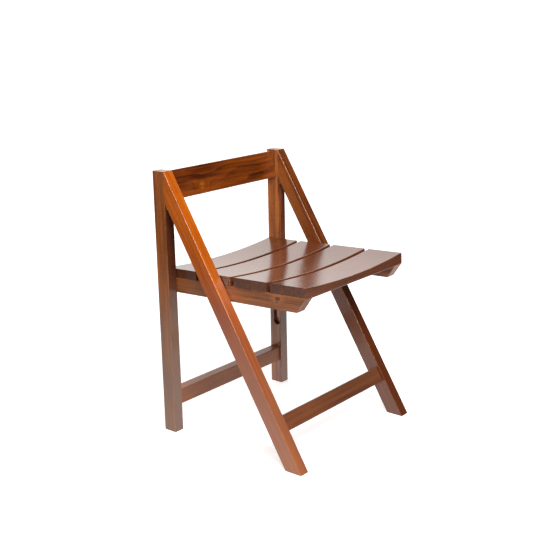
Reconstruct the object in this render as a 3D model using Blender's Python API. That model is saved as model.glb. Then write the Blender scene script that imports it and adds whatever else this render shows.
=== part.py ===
"""Folding side chair of stained hardwood.

Two upright rear posts and two sloping front legs meet in an inverted V and turn on butt hinges
near the top. The seat turns on bolts through the front legs, and its rear pins run down grooves in
the rear posts as the frame closes. Metres, +Z up, the chair faces -Y, the origin is on the floor
under the middle of the open chair.
"""
import math

import bmesh
import bpy
from mathutils import Matrix, Vector

# ---------------------------------------------------------------- driving dimensions
HEIGHT = 0.700               # floor to the top of the posts
WIDTH = 0.480                # across the outer faces of posts and legs
DEPTH = 0.4615               # front of the front feet to the back of the posts
STOCK = 0.030                # thickness of the sawn timber
POST_DEPTH = 0.0395          # rear post, front to back
LEG_DEPTH = 0.042            # front leg, square to its slope
EASE = 0.0018                # chamfer along every long edge
GAP = 0.0003                 # glue line and fitting clearance

SEAT_FRONT = (-0.2234, 0.4607)   # y, z of the front top edge of the seat ends
SEAT_TILT = math.radians(2.25)   # the seat falls towards the back
SEAT_LENGTH = 0.4525         # front edge to rear edge along the seat
SEAT_WIDTH = 0.416
SLAT_COUNT = 4
SLAT_SPACE = 0.0113          # open gap between two slats
SEAT_DISH = 0.0118           # how far the middle of a slat lies below its ends
SLAT_REBATE = 0.006          # notch under each slat end that sits over the rail
RAIL_HEIGHT = 0.0455         # seat rail, from the rebate down
RAIL_NOSE = 0.0045           # upright land at the front of the rail, above its chamfer
RAIL_CHAMFER = (0.0265, 0.0360)  # length and height of the chamfer under the rail's front

BACK_HEIGHT = 0.0755         # backrest board, along its slope
BACK_THICK = 0.017
BACK_TILT = math.radians(15.0)
BACK_CENTRE = (0.2127, 0.6574)   # y, z of the middle of the board
BACK_EASE = 0.0035

REAR_STRETCHER_Z = (0.070, 0.112)
REAR_STRETCHER_INSET = 0.006     # behind the front face of the posts
FRONT_STRETCHER_UP = 0.1295      # from the foot to the bar's middle, up the leg
FRONT_STRETCHER_HEIGHT = 0.0415
FRONT_STRETCHER_INSET = 0.008    # behind the front face of the legs

KNUCKLE_RADIUS = 0.003
LEAF_WIDTH = 0.025
LEAF_HEIGHT = 0.035          # from the hinge pin to the leaf's top
LEAF_THICK = 0.0015
HINGE_PIN_RADIUS = 0.0012
HINGE_PIN_TIP = 0.0003       # chamfer on the pin's ends
POST_LEAF_DROP = 0.002       # the post's leaf starts this far below the pin
LEG_LEAF_RISE = 0.0038       # and the leg's leaf this far above it
POST_WEB = (-0.0018, 0.0026)     # heights of the webs that join knuckles to leaves, from the pin
LEG_WEB = (0.0008, 0.0060)
WEB_SINK = 0.0005            # how far the post's web starts behind the pin's axis
LEG_WEB_BACK = 0.0002        # the leg's web stops this far short of the leaf's face
SCREW_LENGTH = 0.009
SCREW_RADIUS = 0.0013
SCREW_HEAD = (0.0028, 0.0014)    # radius and depth of the countersunk head
SCREW_UP = (0.0195, 0.0295)      # heights above the hinge pin
SCREW_SIDE = 0.0065              # either side of the leaf's middle
HOUSING_RUN = 0.006              # the leg's housing starts this far below the contact

GROOVE_WIDTH = 0.012
GROOVE_DEPTH = 0.010
GROOVE_BACK = 0.019          # middle of the groove, behind the post's front face
POCKET_RADIUS = 0.0125       # rounded pocket at the groove's lower end
POCKET_BACK = 0.014
POCKET_Z = 0.1925
GUIDE_RADIUS = 0.0055

PIVOT_RADIUS = 0.004         # shank of the pivot bolt
PIVOT_REACH = 0.0145         # how far the bolt goes into the leg
BOLT_HEAD = (0.0085, 0.0035)     # radius and height
BOLT_DOME = 0.6              # share of the head's radius and height left by its bevelled dome
INSERT_RADIUS = 0.006
WASHER_RADIUS = 0.009

TENON_LENGTH = 0.015
TENON_SHOULDER = 0.0065      # bar above and below its tenon
TENON_THICK = 0.010
BACK_TENON_THICK = 0.008
PEG_TIP = 0.001              # chamfer on the ends of dowels and guide pins
SLAT_DOWEL = (0.004, 0.027)  # radius and length
SLAT_DOWEL_DROP = 0.018      # how far it goes down into the rail

ROUND_SIDES = 12             # flats round a screw, bolt or dowel
GUIDE_SIDES = 16
WIDE_SIDES = 20              # and round a washer or the pocket
SLOT_STEPS = 8               # flats round one end of the groove
DISH_STEPS = 16              # flats across the dished seat
BACK_EASE_STEPS = 3
CREASE = math.radians(40)    # sharper edges than this stay sharp on turned pieces

# ---------------------------------------------------------------- worked out from them
POST_FRONT = DEPTH / 2 - POST_DEPTH
POST_BACK = DEPTH / 2
INNER = WIDTH / 2 - STOCK                     # inner faces of posts and legs
MIDDLE = WIDTH / 2 - STOCK / 2                # middle of a post, across
RAIL_INNER = SEAT_WIDTH / 2 - STOCK
LEG_SLOPE = math.atan2(POST_FRONT + DEPTH / 2, HEIGHT)
CONTACT_LOW = HEIGHT - LEG_DEPTH / math.sin(LEG_SLOPE)

PIN_CLEAR = KNUCKLE_RADIUS + GAP              # hinge pin to the post face, and to the leg's rear face
PIN_DROP = PIN_CLEAR / math.tan(LEG_SLOPE / 2)
HINGE = Vector((0, POST_FRONT - PIN_CLEAR, CONTACT_LOW - PIN_DROP))
LEG_REAR = -PIN_CLEAR                         # leg faces, in the leg's own frame
LEG_FRONT = -PIN_CLEAR - LEG_DEPTH


def tilted(point, lean):
    """Frame at a point, leaning back by an angle: its own z runs up the slope."""
    return Matrix.Translation(point) @ Matrix.Rotation(-lean, 4, "X")


FOLD_FRAME = tilted(HINGE, LEG_SLOPE)

# The seat's own frame: y runs back along the seat, z is square to it. Both pivots lie on the
# rails' middle line, one where it meets the front legs and one in the grooves.
SEAT_TOP = Matrix.Translation((0, *SEAT_FRONT)) @ Matrix.Rotation(-SEAT_TILT, 4, "X")
RAIL_MIDDLE = -STOCK + SLAT_REBATE - (RAIL_HEIGHT - SLAT_REBATE) / 2


def on_rail(y):
    """Point of the rails' middle line at a given world y."""
    along = (y - SEAT_TOP.translation.y - RAIL_MIDDLE * math.sin(SEAT_TILT)) / math.cos(SEAT_TILT)
    return SEAT_TOP @ Vector((0, along, RAIL_MIDDLE))


def rail_meets_leg():
    """Point where the rails' middle line crosses the front legs' middle line."""
    rail = on_rail(0)
    leg_foot = (LEG_DEPTH / math.cos(LEG_SLOPE) - DEPTH) / 2      # y of the leg's middle on the floor
    leg = leg_foot + rail.z * math.tan(LEG_SLOPE)
    return on_rail(leg / (1 + math.tan(SEAT_TILT) * math.tan(LEG_SLOPE)))


PIVOT = rail_meets_leg()
GUIDE = on_rail(POST_FRONT + GROOVE_BACK)


def folded_guide_z():
    """Height of the guide pin when the front legs lie parallel to the posts."""
    swing = Matrix.Translation(HINGE) @ Matrix.Rotation(LEG_SLOPE, 4, "X") @ Matrix.Translation(-HINGE)
    pivot = swing @ PIVOT
    reach = (GUIDE - PIVOT).length
    return pivot.z - math.sqrt(reach ** 2 - (GUIDE.y - pivot.y) ** 2)


GUIDE_LOW = folded_guide_z()


# ---------------------------------------------------------------- tools of the workshop
def finish(name, colour, roughness, metallic=0.0):
    """A plain finish: colour, roughness and metal."""
    made = bpy.data.materials.new(name)
    made.use_nodes = True
    shader = made.node_tree.nodes["Principled BSDF"]
    shader.inputs["Base Color"].default_value = (*colour, 1.0)
    shader.inputs["Roughness"].default_value = roughness
    shader.inputs["Metallic"].default_value = metallic
    return made


def add_prism(bm, outline, low, high, axis="X"):
    """Straight solid of a flat outline: (y, z) points along X, or (x, z) points along Y."""
    def place(a, b, end):
        return (end, a, b) if axis == "X" else (a, end, b)

    rings = [[bm.verts.new(place(a, b, end)) for a, b in outline] for end in (low, high)]
    faces = [bm.faces.new(ring) for ring in rings]
    for i in range(len(outline)):
        j = (i + 1) % len(outline)
        faces.append(bm.faces.new((rings[0][i], rings[0][j], rings[1][j], rings[1][i])))
    bmesh.ops.recalc_face_normals(bm, faces=faces)


def rectangle(y_low, y_high, z_low, z_high):
    return [(y_low, z_low), (y_high, z_low), (y_high, z_high), (y_low, z_high)]


def add_turned(bm, profile, start, direction, sides=ROUND_SIDES, ring=False):
    """Turned solid of (radius, distance) points along a direction; ring joins last to first."""
    turn = Vector(direction).to_track_quat("Z", "Y").to_matrix()
    hoops = []
    for radius, along in profile:
        hoop = []
        for i in range(sides):
            angle = 2 * math.pi * (i + 0.5) / sides
            local = Vector((radius * math.cos(angle), radius * math.sin(angle), along))
            hoop.append(bm.verts.new(Vector(start) + turn @ local))
        hoops.append(hoop)
    faces = []
    pairs = list(zip(hoops, hoops[1:]))
    if ring:
        pairs.append((hoops[-1], hoops[0]))
    else:
        faces += [bm.faces.new(hoops[0]), bm.faces.new(hoops[-1])]
    for lower, upper in pairs:
        for i in range(sides):
            j = (i + 1) % sides
            faces.append(bm.faces.new((lower[i], lower[j], upper[j], upper[i])))
    bmesh.ops.recalc_face_normals(bm, faces=faces)


def ease_edges(bm, wanted, width, segments=1):
    """Round or chamfer the edges that a test picks."""
    picked = [edge for edge in bm.edges if wanted(edge)]
    bmesh.ops.bevel(bm, geom=picked, offset=width, segments=segments, profile=0.5, affect="EDGES")


def along_axis(index):
    """Test for edges that run along one axis."""
    def wanted(edge):
        run = (edge.verts[0].co - edge.verts[1].co).normalized()
        return abs(run[index]) > 0.99
    return wanted


def solid(name, bm, look, parent=None, at=(0, 0, 0), lean=0.0, smooth=False):
    """Make the named piece of a finished bmesh."""
    mesh = bpy.data.meshes.new(name)
    bm.to_mesh(mesh)
    bm.free()
    if smooth:
        mesh.shade_smooth()
        mesh.set_sharp_from_angle(angle=CREASE)
    mesh.materials.append(look)
    made = bpy.data.objects.new(name, mesh)
    bpy.context.collection.objects.link(made)
    made.parent = parent
    made.location = at
    made.rotation_euler.x = -lean
    return made


def cut(piece, bm, operation="DIFFERENCE"):
    """Cut a piece with a guide body that lies in the piece's own frame."""
    mesh = bpy.data.meshes.new(piece.name + "_guide")
    bm.to_mesh(mesh)
    bm.free()
    guide = bpy.data.objects.new(mesh.name, mesh)
    bpy.context.collection.objects.link(guide)
    guide.parent = piece
    guide.hide_render = True
    guide.display_type = "WIRE"
    modifier = piece.modifiers.new(mesh.name, "BOOLEAN")
    modifier.operation = operation
    modifier.solver = "EXACT"
    modifier.object = guide


def axis_frame(name, frame, parent=None):
    """Empty on a joint's axis, which carries the pieces that turn on it."""
    made = bpy.data.objects.new(name, None)
    bpy.context.collection.objects.link(made)
    made.empty_display_size = 0.03
    made.parent = parent
    made.matrix_basis = parent.matrix_basis.inverted() @ frame if parent else frame
    return made


def side_name(side):
    """The sitter's right is at -X."""
    return "right" if side < 0 else "left"


def across(side, near, far):
    """Low and high x of a stretch given outwards from the middle of the chair."""
    return sorted((side * near, side * far))


# ---------------------------------------------------------------- tenons and screws
def add_screw(bm, head, direction, grow=0.0):
    """Countersunk screw from the middle of its head; grow makes its hole."""
    radius, depth = SCREW_HEAD
    shank = SCREW_RADIUS + grow
    profile = [(radius + grow, 0), (shank, depth), (shank, SCREW_LENGTH + grow)]
    if grow:
        profile.insert(0, (radius + grow, -grow))
    add_turned(bm, profile, head, direction)


def tenon_outline(y, z, thick, height, grow=0.0):
    """Section of a bar's tenon about its middle; grow makes the mortise."""
    return rectangle(y - thick / 2 - grow, y + thick / 2 + grow,
                     z - height / 2 + TENON_SHOULDER - grow, z + height / 2 - TENON_SHOULDER + grow)


def add_mortise(bm, side, outline):
    """Mortise in the inner face of a post or a leg."""
    add_prism(bm, outline, *across(side, INNER - EASE, INNER + TENON_LENGTH + GAP))


def cross_bar(name, outline, ease, steps, tenon, wood, **place):
    """Bar between two posts or legs, with a tenon through its whole length."""
    bm = bmesh.new()
    half = INNER - GAP
    add_prism(bm, outline, -half, half)
    ease_edges(bm, along_axis(0), ease, steps)
    bar = solid(name, bm, wood, **place)
    bm = bmesh.new()
    reach = INNER + TENON_LENGTH
    add_prism(bm, tenon, -reach, reach)
    cut(bar, bm, "UNION")


# ---------------------------------------------------------------- rear frame
REAR_BAR_Y = POST_FRONT + REAR_STRETCHER_INSET + STOCK / 2
REAR_BAR_Z = sum(REAR_STRETCHER_Z) / 2
REAR_BAR_HEIGHT = REAR_STRETCHER_Z[1] - REAR_STRETCHER_Z[0]


def rear_tenon(grow=0.0):
    return tenon_outline(REAR_BAR_Y, REAR_BAR_Z, TENON_THICK, REAR_BAR_HEIGHT, grow)


def back_tenon(grow=0.0):
    return tenon_outline(0, 0, BACK_TENON_THICK, BACK_HEIGHT, grow)


def round_slot(y, z_low, z_high, radius):
    """Upright slot with half-round ends, as (y, z) points."""
    points = []
    for z, start in ((z_high, 0.0), (z_low, math.pi)):
        for i in range(SLOT_STEPS + 1):
            angle = start + math.pi * i / SLOT_STEPS
            points.append((y + radius * math.cos(angle), z + radius * math.sin(angle)))
    return points


def leaf_housing(side, y_low, y_high, z_low):
    """Shallow housing that takes a hinge leaf."""
    bm = bmesh.new()
    reach = LEAF_WIDTH / 2 + GAP
    low, high = across(side, MIDDLE - reach, MIDDLE + reach)
    add_prism(bm, rectangle(y_low, y_high, z_low, HINGE.z + LEAF_HEIGHT + GAP), low, high)
    return bm


def screw_holes(side, face, direction):
    """Holes for one leaf's screws."""
    bm = bmesh.new()
    for head in screw_places(side, face):
        add_screw(bm, head, direction, GAP)
    return bm


def rear_post(side, wood):
    """Upright post with the guide groove, the hinge housing and two mortises."""
    bm = bmesh.new()
    add_prism(bm, rectangle(POST_FRONT, POST_BACK, 0, HEIGHT), *across(side, INNER, WIDTH / 2))
    ease_edges(bm, along_axis(2), EASE)
    post = solid("rear_post_" + side_name(side), bm, wood)

    bm = bmesh.new()
    groove = round_slot(POST_FRONT + GROOVE_BACK, GUIDE_LOW, GUIDE.z, GROOVE_WIDTH / 2)
    add_prism(bm, groove, *across(side, INNER - EASE, INNER + GROOVE_DEPTH))
    cut(post, bm)
    bm = bmesh.new()
    start = (side * (INNER - EASE), POST_FRONT + POCKET_BACK, POCKET_Z)
    pocket = [(POCKET_RADIUS, 0), (POCKET_RADIUS, EASE + GROOVE_DEPTH)]
    add_turned(bm, pocket, start, (side, 0, 0), sides=WIDE_SIDES)
    cut(post, bm)

    floor = POST_FRONT + LEAF_THICK + 2 * GAP
    cut(post, leaf_housing(side, POST_FRONT - EASE, floor, HINGE.z - KNUCKLE_RADIUS))
    cut(post, screw_holes(side, POST_FRONT + GAP, (0, 1, 0)))

    bm = bmesh.new()
    add_mortise(bm, side, back_tenon(GAP))
    bm.transform(tilted((0, *BACK_CENTRE), BACK_TILT))
    add_mortise(bm, side, rear_tenon(GAP))
    cut(post, bm)


def backrest_board(wood):
    """Leaning board between the posts, with rounded long edges."""
    outline = rectangle(-BACK_THICK / 2, BACK_THICK / 2, -BACK_HEIGHT / 2, BACK_HEIGHT / 2)
    place = {"at": (0, *BACK_CENTRE), "lean": BACK_TILT}
    cross_bar("backrest_board", outline, BACK_EASE, BACK_EASE_STEPS, back_tenon(), wood, **place)


def rear_stretcher(wood):
    """Low bar between the rear posts."""
    front = POST_FRONT + REAR_STRETCHER_INSET
    outline = rectangle(front, front + STOCK, *REAR_STRETCHER_Z)
    cross_bar("rear_stretcher", outline, EASE, 1, rear_tenon(), wood)


# ---------------------------------------------------------------- front frame, in the leg's frame
def floor_line(y):
    """Leg frame z where the floor crosses a leg face."""
    return (y * math.sin(LEG_SLOPE) - HINGE.z) / math.cos(LEG_SLOPE)


def contact_line(y):
    """Leg frame z where the post's front face crosses a leg face, less the fitting gap."""
    return (PIN_CLEAR - GAP - y * math.cos(LEG_SLOPE)) / math.sin(LEG_SLOPE)


FRONT_BAR_Y = LEG_FRONT + FRONT_STRETCHER_INSET + STOCK / 2
FRONT_BAR_Z = floor_line(LEG_FRONT) + FRONT_STRETCHER_UP


def front_tenon(grow=0.0):
    return tenon_outline(FRONT_BAR_Y, FRONT_BAR_Z, TENON_THICK, FRONT_STRETCHER_HEIGHT, grow)


def front_leg(side, wood, parent):
    """Sloping leg, cut level at the foot and upright where it meets the post."""
    bm = bmesh.new()
    outline = [(LEG_FRONT, floor_line(LEG_FRONT)), (LEG_REAR, floor_line(LEG_REAR)),
               (LEG_REAR, contact_line(LEG_REAR)), (LEG_FRONT, contact_line(LEG_FRONT))]
    add_prism(bm, outline, *across(side, INNER, WIDTH / 2))
    ease_edges(bm, along_axis(2), EASE)
    leg = solid("front_leg_" + side_name(side), bm, wood, parent)

    to_leg = FOLD_FRAME.inverted()
    floor = POST_FRONT - LEAF_THICK - 3 * GAP
    housing = leaf_housing(side, floor, POST_FRONT + EASE, CONTACT_LOW - HOUSING_RUN)
    holes = screw_holes(side, POST_FRONT - 2 * GAP, (0, -1, 0))
    for bm in (housing, holes):
        bm.transform(to_leg)
        cut(leg, bm)

    bm = bmesh.new()
    pivot = to_leg @ PIVOT
    start = (side * (INNER - EASE), pivot.y, pivot.z)
    radius = INSERT_RADIUS + GAP
    add_turned(bm, [(radius, 0), (radius, EASE + PIVOT_REACH + 2 * GAP)], start, (side, 0, 0))
    add_mortise(bm, side, front_tenon(GAP))
    cut(leg, bm)


def front_stretcher(wood, parent):
    """Low bar between the front legs, square to their slope."""
    rise = FRONT_STRETCHER_HEIGHT / 2
    front = LEG_FRONT + FRONT_STRETCHER_INSET
    outline = rectangle(front, front + STOCK, FRONT_BAR_Z - rise, FRONT_BAR_Z + rise)
    cross_bar("front_stretcher", outline, EASE, 1, front_tenon(), wood, parent=parent)


# ---------------------------------------------------------------- hinges
def screw_places(side, face):
    """Middles of the screw heads on one leaf, whose screwed face is at a given y."""
    return [(side * MIDDLE + step, face, HINGE.z + up)
            for step, up in ((-SCREW_SIDE, SCREW_UP[0]), (SCREW_SIDE, SCREW_UP[1]))]


KNUCKLES = (-0.0125, -0.0045, 0.0045, 0.0125)    # ends of the three knuckles, from the leaf's middle


def leaf(name, side, plate, web, spans, parent, metal):
    """Hinge leaf: a plate, and on each span a knuckle with the web that joins it to the plate."""
    middle = side * MIDDLE
    bm = bmesh.new()
    add_prism(bm, rectangle(*plate), middle - LEAF_WIDTH / 2, middle + LEAF_WIDTH / 2)
    made = solid(name, bm, metal, parent, smooth=True)
    for low, high in spans:
        bm = bmesh.new()
        add_prism(bm, rectangle(*web), middle + low, middle + high)
        cut(made, bm, "UNION")
        bm = bmesh.new()
        profile = [(KNUCKLE_RADIUS, 0), (KNUCKLE_RADIUS, high - low)]
        add_turned(bm, profile, (middle + low, HINGE.y, HINGE.z), (1, 0, 0))
        cut(made, bm, "UNION")
    bm = bmesh.new()
    start = (middle - LEAF_WIDTH, HINGE.y, HINGE.z)
    radius = HINGE_PIN_RADIUS + GAP
    add_turned(bm, [(radius, 0), (radius, 2 * LEAF_WIDTH)], start, (1, 0, 0))
    cut(made, bm)
    return made


def hinge_post_leaf(side, metal):
    """Leaf let into the post, with the two outer knuckles."""
    face = POST_FRONT + GAP
    plate = (face, face + LEAF_THICK, HINGE.z - POST_LEAF_DROP, HINGE.z + LEAF_HEIGHT)
    web = (HINGE.y + WEB_SINK, face + LEAF_THICK / 2, HINGE.z + POST_WEB[0], HINGE.z + POST_WEB[1])
    spans = [(KNUCKLES[0], KNUCKLES[1] - GAP), (KNUCKLES[2] + GAP, KNUCKLES[3])]
    made = leaf("hinge_post_leaf_" + side_name(side), side, plate, web, spans, None, metal)
    bm = bmesh.new()
    for head in screw_places(side, face):
        add_screw(bm, head, (0, 1, 0), GAP)
    cut(made, bm)


def hinge_leg_leaf(side, metal, parent):
    """Leaf let into the leg's upright cut, with the middle knuckle."""
    face = POST_FRONT - 2 * GAP
    plate = (face - LEAF_THICK, face, HINGE.z + LEG_LEAF_RISE, HINGE.z + LEAF_HEIGHT)
    web = (face - LEAF_THICK, face - LEG_WEB_BACK, HINGE.z + LEG_WEB[0], HINGE.z + LEG_WEB[1])
    spans = [(KNUCKLES[1] + GAP, KNUCKLES[2] - GAP)]
    made = leaf("hinge_leg_leaf_" + side_name(side), side, plate, web, spans, None, metal)
    bm = bmesh.new()
    for head in screw_places(side, face):
        add_screw(bm, head, (0, -1, 0), GAP)
    cut(made, bm)
    made.parent = parent
    made.matrix_parent_inverse = FOLD_FRAME.inverted()


def hinge_pin(side, metal):
    """Pin through the three knuckles."""
    bm = bmesh.new()
    radius, tip = HINGE_PIN_RADIUS, HINGE_PIN_TIP
    profile = [(radius - tip, 0), (radius, tip), (radius, LEAF_WIDTH - tip), (radius - tip, LEAF_WIDTH)]
    at = (side * MIDDLE - LEAF_WIDTH / 2, HINGE.y, HINGE.z)
    add_turned(bm, profile, (0, 0, 0), (1, 0, 0))
    solid("hinge_pin_" + side_name(side), bm, metal, at=at, smooth=True)


def hinge_screws(name, side, face, direction, metal, parent=None):
    """The two screws of one leaf, each a piece of its own."""
    for order, head in zip(("lower", "upper"), screw_places(side, face)):
        bm = bmesh.new()
        add_screw(bm, head, direction)
        made = solid("_".join((name, side_name(side), order)), bm, metal, parent, smooth=True)
        if parent:
            made.matrix_parent_inverse = FOLD_FRAME.inverted()


# ---------------------------------------------------------------- seat, in the seat's frame
SEAT_FRAME = Matrix.Translation(PIVOT) @ Matrix.Rotation(-SEAT_TILT, 4, "X")
SEAT_ORIGIN = SEAT_FRAME.inverted() @ SEAT_TOP.translation    # front top edge, from the seat pivot
SLAT_WIDTH = (SEAT_LENGTH - (SLAT_COUNT - 1) * SLAT_SPACE) / SLAT_COUNT
SLAT_NAMES = ("front", "second", "third", "rear")
SLAT_BOTTOM = SEAT_ORIGIN.z - STOCK
RAIL_TOP = SLAT_BOTTOM + SLAT_REBATE


def slat_start(index):
    """Seat frame y of a slat's front edge."""
    return SEAT_ORIGIN.y + index * (SLAT_WIDTH + SLAT_SPACE)


def dish_points(half):
    """Dished top of a slat, an arc from the left end to the right end."""
    radius = (half ** 2 + SEAT_DISH ** 2) / (2 * SEAT_DISH)
    swing = math.asin(half / radius)
    points = []
    for i in range(DISH_STEPS + 1):
        angle = swing * (1 - 2 * i / DISH_STEPS)
        drop = radius * math.cos(angle) - radius * math.cos(swing)
        points.append((radius * math.sin(angle), SEAT_ORIGIN.z - drop))
    return points


def add_slat_dowel(bm, index, side, grow=0.0):
    """Upright dowel where a slat crosses a rail; grow makes its hole."""
    radius, length = SLAT_DOWEL
    middle = slat_start(index) + SLAT_WIDTH / 2
    start = (side * (RAIL_INNER + STOCK / 2), middle, RAIL_TOP - SLAT_DOWEL_DROP)
    tip = radius - PEG_TIP
    profile = [(tip, 0), (radius, PEG_TIP), (radius, length - PEG_TIP), (tip, length)]
    if grow:
        profile = [(radius + grow, -grow), (radius + grow, length + grow)]
    add_turned(bm, profile, start, (0, 0, 1))


def seat_slat(index, wood, parent):
    """Cross slat with a dished top, notched at both ends over the rails."""
    half = SEAT_WIDTH / 2
    notch = RAIL_INNER - GAP
    outline = dish_points(half)
    outline += [(-half, RAIL_TOP + GAP), (-notch, RAIL_TOP + GAP), (-notch, SLAT_BOTTOM),
                (notch, SLAT_BOTTOM), (notch, RAIL_TOP + GAP), (half, RAIL_TOP + GAP)]
    bm = bmesh.new()
    start = slat_start(index)
    add_prism(bm, outline, start, start + SLAT_WIDTH, axis="Y")

    def top_edge(edge):
        run = (edge.verts[0].co - edge.verts[1].co).normalized()
        height = (edge.verts[0].co.z + edge.verts[1].co.z) / 2
        return abs(run.x) > 0.9 and height > SEAT_ORIGIN.z - SEAT_DISH - EASE

    ease_edges(bm, top_edge, EASE)
    slat = solid("seat_slat_" + SLAT_NAMES[index], bm, wood, parent)
    bm = bmesh.new()
    for side in (-1, 1):
        add_slat_dowel(bm, index, side, GAP)
    cut(slat, bm)


def seat_rail(side, wood, parent):
    """Side rail under the slats, chamfered at its front end."""
    bm = bmesh.new()
    low, high = across(side, RAIL_INNER, SEAT_WIDTH / 2)
    front = SEAT_ORIGIN.y
    back = front + SEAT_LENGTH
    bottom = RAIL_TOP - RAIL_HEIGHT + SLAT_REBATE
    outline = [(front, RAIL_TOP), (front, RAIL_TOP - RAIL_NOSE),
               (front + RAIL_CHAMFER[0], bottom), (back, bottom), (back, RAIL_TOP)]
    add_prism(bm, outline, low, high)

    def under_edge(edge):
        run = (edge.verts[0].co - edge.verts[1].co).normalized()
        return abs(run.y) > 0.5 and max(vert.co.z for vert in edge.verts) < RAIL_TOP - RAIL_NOSE / 2

    ease_edges(bm, under_edge, EASE)
    rail = solid("seat_rail_" + side_name(side), bm, wood, parent)
    bm = bmesh.new()
    for index in range(SLAT_COUNT):
        add_slat_dowel(bm, index, side, GAP)
    start = (side * (RAIL_INNER - STOCK), 0, 0)
    radius = PIVOT_RADIUS + GAP
    add_turned(bm, [(radius, 0), (radius, 3 * STOCK)], start, (side, 0, 0))
    cut(rail, bm)


def slat_dowel(index, side, wood, parent):
    """Dowel that pins a slat to a rail."""
    bm = bmesh.new()
    add_slat_dowel(bm, index, side)
    name = "_".join(("slat_dowel", SLAT_NAMES[index], side_name(side)))
    solid(name, bm, wood, parent, smooth=True)


# ---------------------------------------------------------------- pivots and guides
def pivot_bolt(side, metal, parent):
    """Bolt through the rail into the leg's insert, with a low domed head inside the rail."""
    radius, height = BOLT_HEAD
    start = RAIL_INNER - GAP - height
    length = INNER + PIVOT_REACH - start
    profile = [(radius * BOLT_DOME, 0), (radius, height * BOLT_DOME), (radius, height),
               (PIVOT_RADIUS, height), (PIVOT_RADIUS, length)]
    at = FOLD_FRAME.inverted() @ PIVOT
    bm = bmesh.new()
    add_turned(bm, profile, (side * start, 0, 0), (side, 0, 0))
    solid("pivot_bolt_" + side_name(side), bm, metal, parent, at=at, smooth=True)


def pivot_insert(side, metal, parent):
    """Threaded insert in the leg's inner face, open at both ends."""
    start = side * (INNER + GAP)
    bore = PIVOT_RADIUS + GAP
    length = PIVOT_REACH
    profile = [(bore, 0), (INSERT_RADIUS, 0), (INSERT_RADIUS, length), (bore, length)]
    at = FOLD_FRAME.inverted() @ PIVOT
    bm = bmesh.new()
    add_turned(bm, profile, (start, 0, 0), (side, 0, 0), ring=True)
    solid("pivot_insert_" + side_name(side), bm, metal, parent, at=at, smooth=True)


def pivot_washer(side, metal, parent):
    """Spacer between the rail and the leg."""
    start = side * (SEAT_WIDTH / 2 + GAP)
    thick = INNER - SEAT_WIDTH / 2 - 2 * GAP
    bore = PIVOT_RADIUS + GAP
    profile = [(bore, 0), (WASHER_RADIUS, 0), (WASHER_RADIUS, thick), (bore, thick)]
    at = FOLD_FRAME.inverted() @ PIVOT
    bm = bmesh.new()
    add_turned(bm, profile, (start, 0, 0), (side, 0, 0), sides=WIDE_SIDES, ring=True)
    solid("pivot_washer_" + side_name(side), bm, metal, parent, at=at, smooth=True)


def guide_pin(side, metal, parent):
    """Round pin from the rail's side into the post's groove."""
    start = side * (SEAT_WIDTH / 2 + GAP)
    length = INNER + GROOVE_DEPTH - SEAT_WIDTH / 2 - 3 * GAP
    profile = [(GUIDE_RADIUS, 0), (GUIDE_RADIUS, length - PEG_TIP), (GUIDE_RADIUS - PEG_TIP, length)]
    bm = bmesh.new()
    add_turned(bm, profile, (start, 0, 0), (side, 0, 0), sides=GUIDE_SIDES)
    solid("guide_pin_" + side_name(side), bm, metal, parent, smooth=True)


# ---------------------------------------------------------------- the chair
def build():
    for item in list(bpy.data.objects):
        bpy.data.objects.remove(item, do_unlink=True)

    wood = finish("stained_wood", (0.150, 0.045, 0.016), 0.32)
    dowel_wood = finish("dowel_wood", (0.520, 0.360, 0.210), 0.60)
    brass = finish("brass", (0.720, 0.480, 0.180), 0.32, 1.0)
    steel = finish("zinc_steel", (0.560, 0.550, 0.530), 0.35, 1.0)

    fold_axis = axis_frame("fold_axis", FOLD_FRAME)
    seat_axis = axis_frame("seat_axis", SEAT_FRAME, fold_axis)
    guide_axis = axis_frame("guide_axis", Matrix.Translation(GUIDE))

    backrest_board(wood)
    rear_stretcher(wood)
    front_stretcher(wood, fold_axis)
    for index in range(SLAT_COUNT):
        seat_slat(index, wood, seat_axis)
    for side in (-1, 1):
        rear_post(side, wood)
        front_leg(side, wood, fold_axis)
        seat_rail(side, wood, seat_axis)
        for index in range(SLAT_COUNT):
            slat_dowel(index, side, dowel_wood, seat_axis)
        hinge_post_leaf(side, brass)
        hinge_leg_leaf(side, brass, fold_axis)
        hinge_pin(side, brass)
        hinge_screws("post_screw", side, POST_FRONT + GAP, (0, 1, 0), brass)
        hinge_screws("leg_screw", side, POST_FRONT - 2 * GAP, (0, -1, 0), brass, fold_axis)
        pivot_bolt(side, steel, fold_axis)
        pivot_insert(side, brass, fold_axis)
        pivot_washer(side, brass, fold_axis)
        guide_pin(side, steel, guide_axis)


build()
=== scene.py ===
import math

import bmesh
import bpy
from mathutils import Euler, Matrix, Vector


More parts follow.
